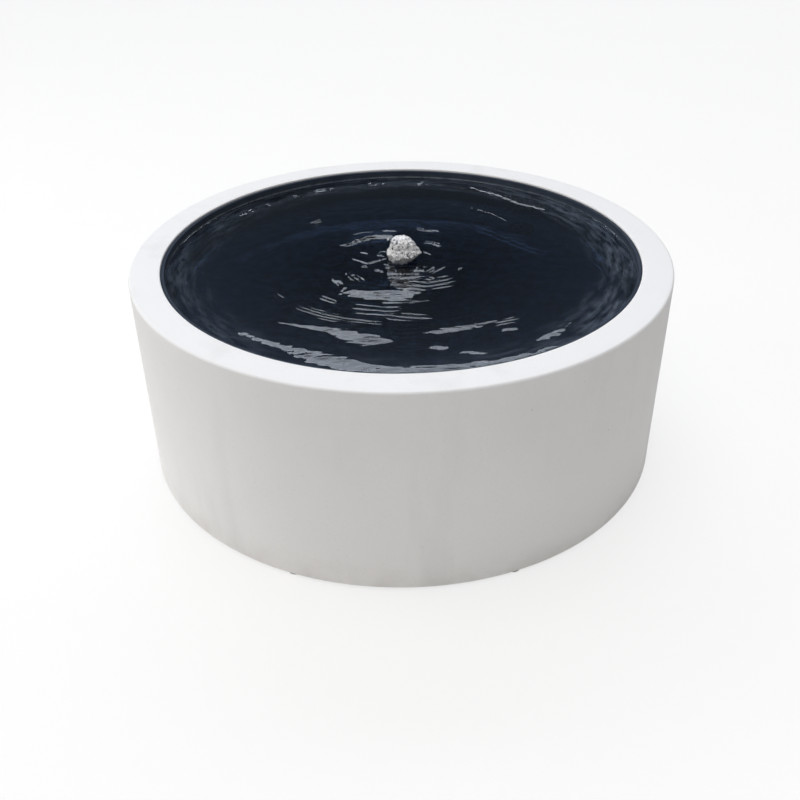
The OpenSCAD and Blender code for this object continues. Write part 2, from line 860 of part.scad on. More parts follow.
// Dial that turns over the cage's ports to set the flow
module flow_dial() {
    back_y = cage_front_y - dial_gap;
    clip_y = cage_front_y + cage_t + dial_gap;
    color("darkgray") union() {
        difference() {
            axle_rod(dial_d / 2, back_y - dial_t, back_y);
            ports(port_r + 0.3, back_y - dial_t - eps, dial_t + 2 * eps);
        }
        axle_rod(dial_pin_r, back_y - eps, clip_y + eps);
        axle_rod(dial_head_r, clip_y, clip_y + dial_head_t);
        translate([0, back_y - dial_t - dial_grip_h, axle_z])
            rotate([0, 45, 0]) translate([-dial_grip_w / 2, 0, -dial_d / 2 + 4])
                cube([dial_grip_w, dial_grip_h + 1, dial_d - 8]);
    }
}

// Fixed riser over the pump's outlet
module riser_tube() {
    color("gray") ring(riser_bore_r, riser_r, riser_base_z, riser_top_z);
}

// Clamp round the foot of the riser, with its screw block
module riser_clamp() {
    low_z = riser_base_z + 4;
    inner_r = riser_r + run_fit;
    color("silver") difference() {
        union() {
            translate([0, 0, low_z]) cylinder(r = inner_r + riser_clamp_t, h = riser_clamp_h);
            translate([inner_r - 1, -4, low_z]) cube([riser_clamp_t + 7, 8, riser_clamp_h]);
        }
        translate([0, 0, low_z - eps]) cylinder(r = inner_r, h = riser_clamp_h + 2 * eps);
    }
}

// Fluted collar that guides and locks the sliding extension
module riser_collar() {
    low_z = riser_top_z - collar_skirt;
    high_z = riser_top_z + collar_lip;
    color("dimgray") difference() {
        turned([
            [riser_r + run_fit, low_z],
            [collar_r, low_z],
            [collar_r, high_z - 1],
            [collar_r - 1, high_z],
            [riser_bore_r, high_z],
            [riser_bore_r, riser_top_z + seat_fit],
            [riser_r + run_fit, riser_top_z + seat_fit]
        ]);
        ring_of(flute_count, collar_r + 0.4)
            translate([0, 0, low_z - eps])
                cylinder(r = 1.2, h = high_z - low_z + 2 * eps, $fn = 24);
    }
}

// Tube that slides in the riser and carries the nozzle
module riser_extension() {
    color("gray")
        ring(extension_r - extension_wall, extension_r, extension_base_z, extension_top_z);
}

// Bubbler nozzle with its jet and air grooves
module nozzle_body() {
    socket_r = extension_r + seat_fit;
    socket_out_r = guide_r - 3;
    color("dimgray") difference() {
        turned([
            [socket_r, nozzle_base_z],
            [socket_out_r, nozzle_base_z],
            [socket_out_r, extension_top_z],
            [guide_r, guide_z],
            [guide_r, guide_top_z],
            [guide_r - 2, crown_z],
            [jet_d / 2, crown_z],
            [jet_d / 2, guide_z + 4],
            [extension_r - extension_wall, extension_top_z + 1],
            [extension_r - extension_wall, extension_top_z + seat_fit],
            [socket_r, extension_top_z + seat_fit]
        ]);
        ring_of(air_groove_count, guide_r)
            translate([0, 0, extension_top_z - eps])
                cylinder(r = air_groove_r, h = nozzle_top_z - extension_top_z, $fn = 24);
    }
}

// Sleeve that slides on the nozzle to set the height of the bubble
module nozzle_sleeve() {
    base_z = nozzle_top_z - sleeve_l;
    color("darkgray") difference() {
        ring(sleeve_in_r, sleeve_d / 2, base_z, nozzle_top_z);
        ring_of(air_hole_count, 0, 45)
            translate([0, 0, base_z + air_hole_d]) rotate([0, 90, 0])
                cylinder(d = air_hole_d, h = sleeve_d, $fn = 48);
    }
}

outer_shell();
inner_basin();
sump_wall();
sump_base();
edge_sealant();
flange_screws();
rim_inserts();
shell_pads();
basin_legs();
leg_pads();
sump_cover();
cover_knobs();
drain_fitting();
drain_gasket();
drain_nut();
drain_plug();
drain_oring();
gland_body();
gland_nut();
gland_seal();
gland_cap();
pump_housing();
motor_cap();
stator_core();
stator_coils();
suction_feet();
rotor_magnet();
impeller();
rotor_shaft();
rear_bush();
front_bush();
chamber_cover();
chamber_seal();
intake_cage();
filter_sponge();
flow_dial();
riser_tube();
riser_clamp();
riser_collar();
riser_extension();
nozzle_body();
nozzle_sleeve();
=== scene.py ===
import json
import math

import bmesh
import bpy
import numpy as np
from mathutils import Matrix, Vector


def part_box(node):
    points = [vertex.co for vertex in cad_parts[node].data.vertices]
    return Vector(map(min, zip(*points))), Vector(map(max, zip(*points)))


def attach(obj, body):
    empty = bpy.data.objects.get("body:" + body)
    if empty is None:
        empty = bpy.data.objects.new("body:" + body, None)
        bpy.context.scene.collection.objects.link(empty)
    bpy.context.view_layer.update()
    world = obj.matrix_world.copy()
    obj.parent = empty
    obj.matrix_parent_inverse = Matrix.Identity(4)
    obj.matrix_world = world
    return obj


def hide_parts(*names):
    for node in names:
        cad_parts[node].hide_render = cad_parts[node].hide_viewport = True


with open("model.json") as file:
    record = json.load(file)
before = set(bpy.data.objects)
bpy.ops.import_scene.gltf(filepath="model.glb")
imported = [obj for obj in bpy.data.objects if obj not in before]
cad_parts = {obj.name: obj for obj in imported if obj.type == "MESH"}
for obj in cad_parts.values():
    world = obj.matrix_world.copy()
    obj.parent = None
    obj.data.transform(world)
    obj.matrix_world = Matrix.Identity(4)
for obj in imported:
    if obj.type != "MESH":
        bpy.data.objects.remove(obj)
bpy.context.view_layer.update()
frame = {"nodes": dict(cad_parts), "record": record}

MM = 0.001

# Sizes and clearances that the frame doesn't give by itself
RIM_T = 25 * MM
SKIRT_T = 18 * MM
FOOT_W = 30 * MM
FOOT_H = 25 * MM
OUTER_ARRIS = 4 * MM
INNER_ARRIS = 2 * MM
FOOT_CHAMFER = 2.5 * MM
NOTCH_W = 32 * MM
NOTCH_H = 20 * MM
BASIN_T = 5 * MM
FLOOR_T = 8 * MM
LIP_R = 1.2 * MM
SEAL_GAP = 1.5 * MM
SEAL_FIT = 0.1 * MM
SEAL_UNDER_LIP = 0.5 * MM
COVE_R = 18 * MM
SUMP_R = 95 * MM
SUMP_COVE_R = 6 * MM
LEDGE_T = 10 * MM
LEDGE_FLARE = 6 * MM
COVER_FIT = 2 * MM
FLANGE_T = 8 * MM
FLANGE_FIT = 2 * MM
WATER_DROP = 17 * MM
WATER_FIT = 0.4 * MM

# Sizes taken from the frame
TABLE_LOW, TABLE_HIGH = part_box("outer_shell")
TABLE_R = TABLE_HIGH[0]
TABLE_H = TABLE_HIGH[2]
PAD_T = TABLE_LOW[2]
SEAL_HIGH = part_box("edge_sealant")[1]
OPENING_R = SEAL_HIGH[0] + SEAL_FIT
LIP_Z = SEAL_HIGH[2] + SEAL_UNDER_LIP
BASIN_OUT_R = OPENING_R - SEAL_GAP
BASIN_R = BASIN_OUT_R - BASIN_T
FLANGE_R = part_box("inner_basin")[1][0]
SUMP_UNDER_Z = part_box("sump_wall")[0][2]
COVER_LOW, COVER_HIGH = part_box("sump_cover")
LEDGE_Z = COVER_LOW[2]
LEDGE_R = COVER_HIGH[0] + COVER_FIT
FLOOR_Z = COVER_HIGH[2]
SLEEVE_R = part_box("nozzle_sleeve")[1][0]
WATER_Z = TABLE_H - WATER_DROP


# Points of an arc round a centre, in the plane of radius and height
def arc(centre, radius, start, end, steps=8):
    turn = [math.radians(start + (end - start) * i / steps) for i in range(steps + 1)]
    return [(centre[0] + radius * math.cos(a), centre[1] + radius * math.sin(a)) for a in turn]


# A straight run of points, without its first one
def run(start, end, steps):
    return [
        (start[0] + (end[0] - start[0]) * i / steps, start[1] + (end[1] - start[1]) * i / steps)
        for i in range(1, steps + 1)
    ]


# Edges that bend more than this stay sharp
SHARP_ANGLE = math.radians(35)


# A new object from vertices and faces, with one material
def make_object(name, vertices, faces, material):
    mesh = bpy.data.meshes.new(name)
    mesh.from_pydata(vertices, [], faces)
    solid = bmesh.new()
    solid.from_mesh(mesh)
    bmesh.ops.recalc_face_normals(solid, faces=solid.faces)
    solid.to_mesh(mesh)
    solid.free()
    mesh.shade_smooth()
    mesh.set_sharp_from_angle(angle=SHARP_ANGLE)
    mesh.materials.append(material)
    made = bpy.data.objects.new(name, mesh)
    bpy.context.scene.collection.objects.link(made)
    return made


# Turns an object's modifiers into its mesh
def apply_modifiers(thing):
    graph = bpy.context.evaluated_depsgraph_get()
    mesh = bpy.data.meshes.new_from_object(thing.evaluated_get(graph))
    thing.modifiers.clear()
    thing.data = mesh


# Vertices and faces of a closed outline of (radius, height) turned about the vertical
def turned(outline, steps, warp=None):
    outline = np.array(outline)
    angles = np.arange(steps) * 2 * math.pi / steps
    radius = outline[:, 0][:, None] * np.ones(steps)
    height = outline[:, 1][:, None] * np.ones(steps)
    turn = np.ones(len(outline))[:, None] * angles
    if warp:
        radius, height = warp(radius, height, turn)
    points = np.stack([radius * np.cos(turn), radius * np.sin(turn), height], axis=-1)
    vertices = points.reshape(-1, 3).tolist()
    rows = len(outline)
    faces = []
    for row in range(rows):
        low, high = row * steps, ((row + 1) % rows) * steps
        for i in range(steps):
            j = (i + 1) % steps
            faces.append((low + i, low + j, high + j, high + i))
    return vertices, faces


# Smooth noise: waves of about one wavelength in several seeded directions, mostly between -1 and 1
def waves(x, y, wavelength, count, seed):
    random = np.random.default_rng(seed)
    total = np.zeros_like(x)
    for _ in range(count):
        way = random.uniform(0, 2 * math.pi)
        phase = random.uniform(0, 2 * math.pi)
        pitch = 2 * math.pi / (wavelength * random.uniform(0.75, 1.35))
        total += np.cos(pitch * (x * math.cos(way) + y * math.sin(way)) + phase)
    return total * math.sqrt(2 / count) * 0.6


class Nodes:
    """The nodes of a material or of the world, added one at a time."""

    def __init__(self, owner):
        owner.use_nodes = True
        self.owner = owner
        self.tree = owner.node_tree
        coordinates = self.add("TexCoord").outputs
        self.place = coordinates["Object"]
        self.direction = coordinates["Generated"]

    def add(self, kind, inputs=(), **settings):
        node = self.tree.nodes.new("ShaderNode" + kind)
        for key, value in settings.items():
            setattr(node, key, value)
        for key, value in dict(inputs).items():
            self.feed(node.inputs[key], value)
        return node

    def feed(self, socket, value):
        if isinstance(value, bpy.types.NodeSocket):
            self.tree.links.new(value, socket)
        else:
            socket.default_value = value

    def axes(self, vector=None):
        return self.add("SeparateXYZ", {"Vector": vector or self.place}).outputs

    # Distance from the vertical axis
    def radius(self, axes):
        flat = self.add("CombineXYZ", {"X": axes["X"], "Y": axes["Y"]}).outputs[0]
        return self.add("VectorMath", {0: flat}, operation="LENGTH").outputs["Value"]

    def scaled(self, *scale):
        return self.add("Mapping", {"Vector": self.place, "Scale": scale}).outputs["Vector"]

    def noise(self, scale, detail=4, rough=0.55, place=None):
        return self.add(
            "TexNoise",
            {"Vector": place or self.place, "Scale": scale, "Detail": detail, "Roughness": rough},
        ).outputs["Fac"]

    # Distance from the middle of the nearest cell
    def cells(self, scale):
        return self.add("TexVoronoi", {"Vector": self.place, "Scale": scale}).outputs["Distance"]

    def spread(self, value, low, high, to_low=0.0, to_high=1.0):
        return self.add(
            "MapRange",
            {"Value": value, "From Min": low, "From Max": high, "To Min": to_low, "To Max": to_high},
        ).outputs["Result"]

    def math(self, operation, first, second):
        return self.add("Math", {0: first, 1: second}, operation=operation).outputs[0]

    def times(self, first, *others):
        for other in others:
            first = self.math("MULTIPLY", first, other)
        return first

    def mix(self, share, first, second):
        inputs = {"Factor": share, "A": first, "B": second}
        return self.add("Mix", inputs, data_type="RGBA").outputs["Result"]

    # Colour by value: stops of where and which colour
    def ramp(self, value, stops):
        node = self.add("ValToRGB", {"Fac": value})
        keys = node.color_ramp.elements
        while len(keys) < len(stops):
            keys.new(0.5)
        for key, (at, colour) in zip(keys, stops):
            key.position = at
            key.color = (*colour, 1)
        return node.outputs["Color"]

    def bump(self, height, distance, strength):
        return self.add(
            "Bump", {"Height": height, "Distance": distance, "Strength": strength}
        ).outputs["Normal"]

    def finish(self, **sockets):
        for key, value in sockets.items():
            self.feed(self.tree.nodes["Principled BSDF"].inputs[key.replace("_", " ")], value)
        return self.owner


def material_nodes(name):
    return Nodes(bpy.data.materials.new(name))


# Cast shell: near-white fibre concrete with faint clouds, specks, pits and a dusty foot. The pits are
# painted darker as the shade in them. The rim's top and the lower part of the side are painted a
# little
# lighter, as painted light: from the sky on the top, and bounced up from the floor on the side
def cast_stone():
    m = material_nodes("cast_stone")
    height = m.axes()["Z"]
    clouds = m.spread(m.noise(5, 5, 0.6), 0.35, 0.65)
    base = m.mix(clouds, (0.80, 0.785, 0.77, 1), (0.835, 0.82, 0.805, 1))
    # Painted light: the lower part of the side is painted lighter, as the light bounced up from the
    # floor
    painted_bounce = m.spread(height, 20 * MM, 300 * MM, 0.9, 0)
    base = m.mix(painted_bounce, base, (0.94, 0.93, 0.915, 1))
    # Painted light: the rim's top is painted lighter and a little cooler, as the sky's light on it
    rim = m.spread(height, TABLE_H - 4 * MM, TABLE_H - 1 * MM, 0, 0.75)
    base = m.mix(rim, base, (0.93, 0.93, 0.935, 1))
    smudge = m.spread(m.noise(1.0, 4, 0.6, m.scaled(9, 9, 1.6)), 0.55, 0.78, 0, 0.45)
    base = m.mix(smudge, base, (0.72, 0.72, 0.71, 1))
    specks = m.spread(m.noise(420, 2, 0.5), 0.62, 0.72, 0, 0.35)
    base = m.mix(specks, base, (0.66, 0.66, 0.65, 1))
    # Pits: dents in the relief, and painted darker as the shade inside them
    pitted = m.spread(m.noise(23, 2, 0.5), 0.60, 0.66)
    pit = m.times(m.spread(m.cells(55), 0.05, 0.09, 1, 0), pitted)
    base = m.mix(m.times(pit, 0.5), base, (0.42, 0.41, 0.40, 1))
    foot = m.spread(height, 4 * MM, 50 * MM, 1, 0)
    dust = m.times(foot, m.spread(m.noise(16, 4, 0.6), 0.4, 0.62), 0.25)
    base = m.mix(dust, base, (0.60, 0.58, 0.55, 1))
    grain, trowel = m.noise(900, 3, 0.6), m.noise(28, 4, 0.5)
    relief = m.math("ADD", m.times(grain, 0.10), m.times(trowel, 0.9))
    relief = m.math("SUBTRACT", relief, m.times(pit, 1.2))
    return m.finish(
        Base_Color=base,
        Roughness=m.spread(m.noise(60, 3), 0.3, 0.7, 0.58, 0.76),
        Specular_IOR_Level=0.25,
        Normal=m.bump(relief, 0.5 * MM, 0.55),
    )


# Basin: dark navy waterproof coat with brush waves. It is darker under the water, and darkest at the
# middle, which the fountain keeps clean. A pale line just over the water is a painted highlight, the
# glint of the water's edge. Under it is slime, partly painted light that lifts the wall's shade there,
# and over it a thin dry film
def basin_coat():
    m = material_nodes("basin_coat")
    axes = m.axes()
    height = axes["Z"]
    rings = m.scaled(1, 1, 7)
    clouds = m.spread(m.noise(14, 5, 0.6), 0.3, 0.7)
    base = m.mix(clouds, (0.034, 0.045, 0.067, 1), (0.050, 0.064, 0.091, 1))
    under = m.spread(height, WATER_Z - 4 * MM, WATER_Z - 1 * MM, 1, 0)
    base = m.mix(m.times(under, 0.4), base, (0.026, 0.036, 0.050, 1))
    edge = m.math("ADD", m.radius(axes), m.times(m.noise(12, 3, 0.5), 30 * MM))
    middle = m.times(m.spread(edge, 170 * MM, 330 * MM, 0.9, 0), under)
    base = m.mix(middle, base, (0.007, 0.010, 0.012, 1))
    # Painted highlight: a pale line on the wall just over the water, as the glint of the water's edge
    glint_low = m.spread(height, WATER_Z + 0.5 * MM, WATER_Z + 1.2 * MM)
    glint_high = m.spread(height, WATER_Z + 2.4 * MM, WATER_Z + 4.5 * MM, 1, 0)
    broken = m.spread(m.noise(60, 5, 0.7), 0.3, 0.55)
    less_on_right = m.spread(axes["X"], 120 * MM, 330 * MM, 0.55, 0.2)
    waterline_glint = m.times(glint_low, glint_high, broken, less_on_right)
    base = m.mix(waterline_glint, base, (0.40, 0.46, 0.52, 1))
    dry = m.spread(height, WATER_Z + 4 * MM, WATER_Z + 12 * MM, 0.30, 0.05)
    film = m.times(m.spread(m.noise(45, 5, 0.7, rings), 0.42, 0.62), dry)
    base = m.mix(film, base, (0.13, 0.16, 0.20, 1))
    # Slime under the water, partly painted light: its pale patches lift the wall's shade there
    slime_light_low = m.spread(height, WATER_Z - 60 * MM, WATER_Z - 6 * MM)
    slime_light_high = m.spread(height, WATER_Z, WATER_Z + 2 * MM, 1, 0)
    more_on_right = m.spread(axes["X"], -300 * MM, 360 * MM, 0.4, 0.9)
    patches = m.spread(m.noise(22, 6, 0.72, rings), 0.40, 0.66)
    slime_and_painted_light = m.times(patches, slime_light_low, slime_light_high, more_on_right)
    base = m.mix(slime_and_painted_light, base, (0.17, 0.22, 0.30, 1))
    lip = m.spread(height, LIP_Z - 2.4 * MM, LIP_Z - 1.0 * MM, 0, 0.25)
    base = m.mix(lip, base, (0.006, 0.009, 0.014, 1))
    brushed = m.noise(70, 4, 0.6, m.scaled(1, 1, 5))
    relief = m.math("ADD", brushed, m.times(m.noise(500, 2), 0.2))
    return m.finish(
        Base_Color=base,
        Roughness=m.spread(m.noise(40, 3), 0.3, 0.7, 0.5, 0.68),
        Specular_IOR_Level=0.05,
        Normal=m.bump(relief, 0.6 * MM, 0.4),
    )


# How much the marks in the water's film are drawn out along the wall, in metres per radian
FILM_STRETCH = 0.075


# Nearly clear water over the dark coat: a blue loss along the way, a faint blue haze that is weaker
# over the middle and, as painted light, stronger in front than at the back, and a thin pale film of
# dust by the wall, more of it on the right
def water_body():
    m = material_nodes("water")
    absorb = m.add("VolumeAbsorption", {"Color": (0.42, 0.50, 0.58, 1), "Density": 16.0})
    m.feed(m.tree.nodes["Material Output"].inputs["Volume"], absorb.outputs[0])
    axes = m.axes()
    radius = m.radius(axes)
    along = m.times(m.math("ARCTAN2", axes["Y"], axes["X"]), FILM_STRETCH)
    by_bearing = m.add("CombineXYZ", {"X": along, "Y": radius}).outputs[0]
    streaks = m.spread(m.noise(120, 6, 0.72, by_bearing), 0.40, 0.63)
    drift = m.spread(m.noise(30, 3, 0.5, by_bearing), 0.28, 0.56)
    reach = m.math("ADD", radius, m.times(drift, 30 * MM))
    by_wall = m.spread(reach, 345 * MM, 398 * MM)
    on_right = m.spread(axes["X"], 140 * MM, 300 * MM, 0.42, 1.0)
    at_back = m.spread(axes["Y"], 280 * MM, 360 * MM, 0.42, 0.6)
    grains = m.spread(m.noise(1100, 2, 0.5), 0.35, 0.65, 0.6, 1.0)
    where = m.math("MAXIMUM", on_right, at_back)
    film = m.times(streaks, by_wall, where, drift, grains)
    off_middle = m.spread(radius, 100 * MM, 340 * MM, 0.15, 1.0)
    # Painted light: the haze is stronger, so the water lighter, in front than at the back
    painted_front_light = m.spread(axes["Y"], -360 * MM, 300 * MM, 1.0, 0.35)
    haze = m.times(off_middle, painted_front_light)
    cloudy = m.math("ADD", m.times(haze, 0.021), m.times(film, 0.22))
    return m.finish(
        Base_Color=m.mix(film, (0.54, 0.66, 0.85, 1), (0.42, 0.50, 0.64, 1)),
        Transmission_Weight=m.math("SUBTRACT", 1.0, cloudy),
        IOR=1.333,
        Roughness=0.0,
        Normal=m.bump(m.noise(160, 3, 0.5), 0.05 * MM, 0.25),
    )


# White aerated water, with painted shade: grey-blue in the pits between the bubbles and faintly at
# their edges
def foam_stuff():
    m = material_nodes("foam")
    # Painted shade: the pits and the edges between the bubbles are painted grey-blue, as the shade
    # there
    pits = m.spread(m.noise(210, 4, 0.72), 0.535, 0.575)
    rims = m.spread(m.cells(170), 0.15, 0.7)
    shade = m.math("MAXIMUM", m.times(pits, 0.9), m.times(rims, 0.04))
    relief = m.math("SUBTRACT", m.noise(240, 4, 0.6), m.times(pits, 0.8))
    return m.finish(
        Base_Color=m.mix(shade, (1.0, 1.0, 0.995, 1), (0.14, 0.17, 0.24, 1)),
        Roughness=0.32,
        Specular_IOR_Level=0.9,
        Subsurface_Weight=0.4,
        Subsurface_Scale=4 * MM,
        Subsurface_Radius=(1.0, 1.0, 1.0),
        Coat_Weight=0.6,
        Coat_Roughness=0.3,
        Normal=m.bump(relief, 1.2 * MM, 0.45),
    )


# Moulded plastic or rubber: fine grain of a depth in mm, faint clouds, and roughness that varies
def moulded(name, colour, rough, grain=700, depth=0.06, lift=1.25, **sockets):
    m = material_nodes(name)
    lighter = tuple(min(1.0, c * lift + 0.004) for c in colour)
    base = m.mix(m.spread(m.noise(35, 4, 0.6), 0.35, 0.65), (*colour, 1), (*lighter, 1))
    return m.finish(
        Base_Color=base,
        Roughness=m.spread(m.noise(90, 3), 0.3, 0.7, rough - 0.06, rough + 0.08),
        Normal=m.bump(m.noise(grain, 3, 0.6), depth * MM, 0.5),
        **sockets,
    )


# Turned or brushed metal: fine scratches round the part and faint stains
def metal(name, colour, rough):
    m = material_nodes(name)
    scratches = m.scaled(60, 60, 1400)
    stain = m.spread(m.noise(60, 4, 0.6), 0.45, 0.75, 0, 0.5)
    darker = tuple(c * 0.62 for c in colour)
    return m.finish(
        Base_Color=m.mix(stain, (*colour, 1), (*darker, 1)),
        Metallic=1.0,
        Roughness=m.spread(m.noise(1.0, 3, 0.6, scratches), 0.3, 0.7, rough - 0.08, rough + 0.1),
        Normal=m.bump(m.noise(1.0, 2, 0.5, scratches), 0.02 * MM, 0.4),
    )


# Open sponge: cells all over, with their hollows painted darker as painted shade
def sponge_stuff():
    m = material_nodes("sponge")
    # Painted shade: darker in the cells' hollows
    deep = m.spread(m.cells(420), 0.2, 0.6)
    base = m.mix(deep, (0.05, 0.07, 0.045, 1), (0.11, 0.14, 0.09, 1))
    return m.finish(Base_Color=base, Roughness=0.95, Normal=m.bump(deep, 0.8 * MM, 0.9))


# Copper windings: strands that run round the coil, with painted shade in the grooves between them
def winding_stuff():
    m = material_nodes("winding")
    strands = m.add(
        "TexWave", {"Vector": m.place, "Scale": 260.0, "Distortion": 0.6}, bands_direction="Y"
    ).outputs["Fac"]
    # Painted shade: the copper is darker in the grooves between the strands
    base = m.mix(strands, (0.36, 0.13, 0.05, 1), (0.75, 0.34, 0.16, 1))
    return m.finish(
        Base_Color=base, Metallic=0.9, Roughness=0.32, Normal=m.bump(strands, 0.25 * MM, 0.8)
    )


STONE = cast_stone()
COAT = basin_coat()
WATER = water_body()
FOAM = foam_stuff()

# Slots of moulded pieces: colour and roughness, then grain, its depth and the clouds' lift where
# they aren't the usual ones
MOULDED = {
    "pad_rubber": ((0.40, 0.40, 0.39), 0.78, 500, 0.15),
    "leg_plastic": ((0.36, 0.37, 0.38), 0.5),
    "seal_rubber": ((0.012, 0.012, 0.013), 0.7, 500, 0.12),
    "plug_plastic": ((0.03, 0.03, 0.033), 0.42),
    "gland_plastic": ((0.05, 0.05, 0.053), 0.4),
    "pump_plastic": ((0.018, 0.019, 0.022), 0.38),
    "ferrite": ((0.03, 0.03, 0.032), 0.5, 900, 0.05),
    "impeller_plastic": ((0.02, 0.08, 0.28), 0.25),
    "shaft_ceramic": ((0.82, 0.81, 0.78), 0.16, 900, 0.01, 1.02),
    "dial_plastic": ((0.12, 0.125, 0.13), 0.4),
    "pipe_plastic": ((0.10, 0.105, 0.11), 0.35),
    "nozzle_plastic": ((0.022, 0.023, 0.026), 0.34),
}
# The same for the two that are dull, so that nothing of them glints by the water or under it
DULL = {
    "sealant": (((0.026, 0.036, 0.052), 0.75, 300, 0.3), 0.05),
    "cover_plastic": (((0.010, 0.012, 0.014), 0.5, 420, 0.12), 0.06),
}
# Slots of metal pieces: colour and roughness
METAL = {
    "steel": ((0.62, 0.63, 0.64), 0.32),
    "brass": ((0.72, 0.52, 0.22), 0.34),
    "drain_steel": ((0.05, 0.055, 0.06), 0.55),
    "stator_iron": ((0.25, 0.25, 0.26), 0.5),
}
SLOT_LOOKS = {
    "cast_stone": STONE,
    "basin_coat": COAT,
    "winding": winding_stuff(),
    "sponge": sponge_stuff(),
}
SLOT_LOOKS.update({slot: moulded(slot, *look) for slot, look in MOULDED.items()})
SLOT_LOOKS.update(
    {
        slot: moulded(slot, *look, Specular_IOR_Level=level)
        for slot, (look, level) in DULL.items()
    }
)
SLOT_LOOKS.update({slot: metal(slot, *look) for slot, look in METAL.items()})


# Each carried-over node takes the look of its slot in the record
def dress_nodes():
    for part in frame["record"]["subparts"]:
        mesh = frame["nodes"][part["node"]].data
        mesh.materials.clear()
        mesh.materials.append(SLOT_LOOKS[part["material_slot"]])


# Waves of the hand-finished mould: how far they move the side out and the rim up
SHELL_STEPS = 480
SIDE_WAVE = 0.22 * MM
RIM_WAVE = 0.16 * MM
# How many steps round the shell the rim's waves lie behind the side's
RIM_WAVE_LAG = 5


# Moves the shell's outside and its top a little, and leaves the inside and the underside
def shell_waves(radius, height, turn):
    around = turn * TABLE_R
    wave = waves(around, height, 280 * MM, 7, 11) + 0.4 * waves(around, height, 90 * MM, 9, 12)
    side = np.clip((radius - (TABLE_R - SKIRT_T)) / SKIRT_T, 0, 1)
    rim = np.clip((height - (TABLE_H - RIM_T)) / RIM_T, 0, 1)
    lagging = np.roll(wave, RIM_WAVE_LAG, axis=1)
    return radius + SIDE_WAVE * wave * side, height + RIM_WAVE * lagging * rim


# Block that cuts the cable's notch through the back of the foot
def notch_block():
    near, far = TABLE_R - 2 * FOOT_W, TABLE_R + FOOT_W
    low, high = -0.5 * NOTCH_H, PAD_T + NOTCH_H
    left, right = -NOTCH_W / 2, NOTCH_W / 2
    corners = [
        (x, y, z)
        for z in (low, high)
        for x, y in ((left, near), (right, near), (right, far), (left, far))
    ]
    faces = [(0, 1, 2, 3), (7, 6, 5, 4), (0, 4, 5, 1), (1, 5, 6, 2), (2, 6, 7, 3), (3, 7, 4, 0)]
    return make_object("notch_cutter", corners, faces, STONE)


# Cast shell: rim, skirt and foot, hollow inside and open below
def build_shell():
    foot_top = PAD_T + FOOT_H
    skirt_in = TABLE_R - SKIRT_T
    foot_in = TABLE_R - FOOT_W
    under = TABLE_H - RIM_T
    knee = skirt_in - FLANGE_R - FLANGE_FIT
    bottom = [(TABLE_R - FOOT_CHAMFER, PAD_T), (TABLE_R, PAD_T + FOOT_CHAMFER)]
    outer = arc((TABLE_R - OUTER_ARRIS, TABLE_H - OUTER_ARRIS), OUTER_ARRIS, 0, 90)
    inner = arc((OPENING_R + INNER_ARRIS, TABLE_H - INNER_ARRIS), INNER_ARRIS, 90, 180, 6)
    outline = bottom + run(bottom[-1], outer[0], 24) + outer[1:]
    outline += run(outer[-1], inner[0], 6) + inner[1:] + [
        (OPENING_R, under),
        (skirt_in - knee, under),
        (skirt_in, under - knee),
        (skirt_in, foot_top + FOOT_W - SKIRT_T),
        (foot_in, foot_top),
        (foot_in, PAD_T + FOOT_CHAMFER),
        (foot_in + FOOT_CHAMFER, PAD_T),
    ]
    vertices, faces = turned(outline, SHELL_STEPS, shell_waves)
    shell = make_object("shell", vertices, faces, STONE)
    notch = notch_block()
    cut = shell.modifiers.new("notch", "BOOLEAN")
    cut.operation = "DIFFERENCE"
    cut.solver = "EXACT"
    cut.object = notch
    apply_modifiers(shell)
    bpy.data.objects.remove(notch)
    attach(shell, "table")
    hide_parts("outer_shell")


BASIN_STEPS = 384
# Radius of the pinhole that a turned floor leaves at its middle
AXIS_R = 0.5 * MM


# Dark basin, with its rounded lip, wall, floor, ledge and sump
def build_basin():
    under = FLOOR_Z - FLOOR_T
    sump_z = SUMP_UNDER_Z + FLOOR_T
    flange_z = TABLE_H - RIM_T - FLANGE_T
    wall_top = (BASIN_R, LIP_Z - LIP_R)
    cove = arc((BASIN_R - COVE_R, FLOOR_Z + COVE_R), COVE_R, 0, -90, 10)
    sump_cove = arc((SUMP_R - SUMP_COVE_R, sump_z + SUMP_COVE_R), SUMP_COVE_R, 0, -90, 6)
    outline = [(BASIN_OUT_R, LIP_Z - LIP_R)]
    outline += arc((BASIN_OUT_R - LIP_R, LIP_Z - LIP_R), LIP_R, 0, 90, 4)
    outline += arc((BASIN_R + LIP_R, LIP_Z - LIP_R), LIP_R, 90, 180, 4)
    outline += run(wall_top, cove[0], 10) + cove[1:]
    outline += run(cove[-1], (LEDGE_R, FLOOR_Z), 16)
    outline += [(LEDGE_R, LEDGE_Z), (SUMP_R, LEDGE_Z)]
    outline += sump_cove + [
        (AXIS_R, sump_z),
        (AXIS_R, SUMP_UNDER_Z),
        (SUMP_R + BASIN_T, SUMP_UNDER_Z),
        (SUMP_R + BASIN_T, LEDGE_Z - LEDGE_T),
        (LEDGE_R + BASIN_T, LEDGE_Z - LEDGE_T),
        (LEDGE_R + BASIN_T + LEDGE_FLARE, under),
        (BASIN_OUT_R - COVE_R, under),
        (BASIN_OUT_R, under + COVE_R),
        (BASIN_OUT_R, flange_z),
        (FLANGE_R, flange_z),
        (FLANGE_R, flange_z + FLANGE_T),
        (BASIN_OUT_R, flange_z + FLANGE_T),
    ]
    vertices, faces = turned(outline, BASIN_STEPS)
    basin = make_object("basin", vertices, faces, COAT)
    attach(basin, "table")
    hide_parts("inner_basin", "sump_wall", "sump_base")


